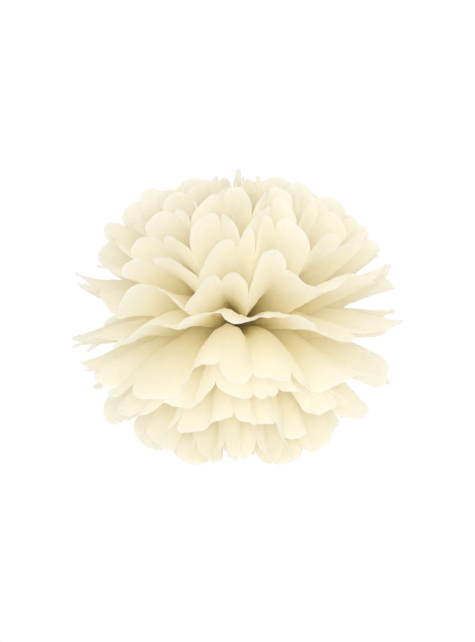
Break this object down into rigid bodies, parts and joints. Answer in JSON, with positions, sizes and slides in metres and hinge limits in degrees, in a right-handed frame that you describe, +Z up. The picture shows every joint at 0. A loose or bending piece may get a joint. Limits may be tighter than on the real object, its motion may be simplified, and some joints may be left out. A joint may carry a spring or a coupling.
{
  "type": "tissue paper pom pom",
  "caption": "Round hanging pom pom of pleated tissue paper sheets, wired round the middle, cut round at the ends and pulled apart into a full ball of petals.",
  "frame": {"origin": "at the tie, in the middle of the ball", "axes": "+Z up through the stack of sheets, -Y towards the front fan of pleats, and the two seams between the fans along -X and +X"},
  "size_m": [0.3375, 0.3459, 0.2968],
  "materials": {
    "tissue_paper": "matt cream tissue paper, thin enough to let light through",
    "tie_wire": "plain galvanised florist's wire"
  },
  "bodies": {
    "root": {"sheet_01": "tissue_paper", "sheet_02": "tissue_paper", "sheet_03": "tissue_paper", "sheet_04": "tissue_paper", "sheet_05": "tissue_paper", "sheet_06": "tissue_paper", "sheet_07": "tissue_paper", "sheet_08": "tissue_paper", "sheet_09": "tissue_paper", "sheet_10": "tissue_paper", "sheet_11": "tissue_paper", "tie_wire": "tie_wire"}
  },
  "joints": []
}
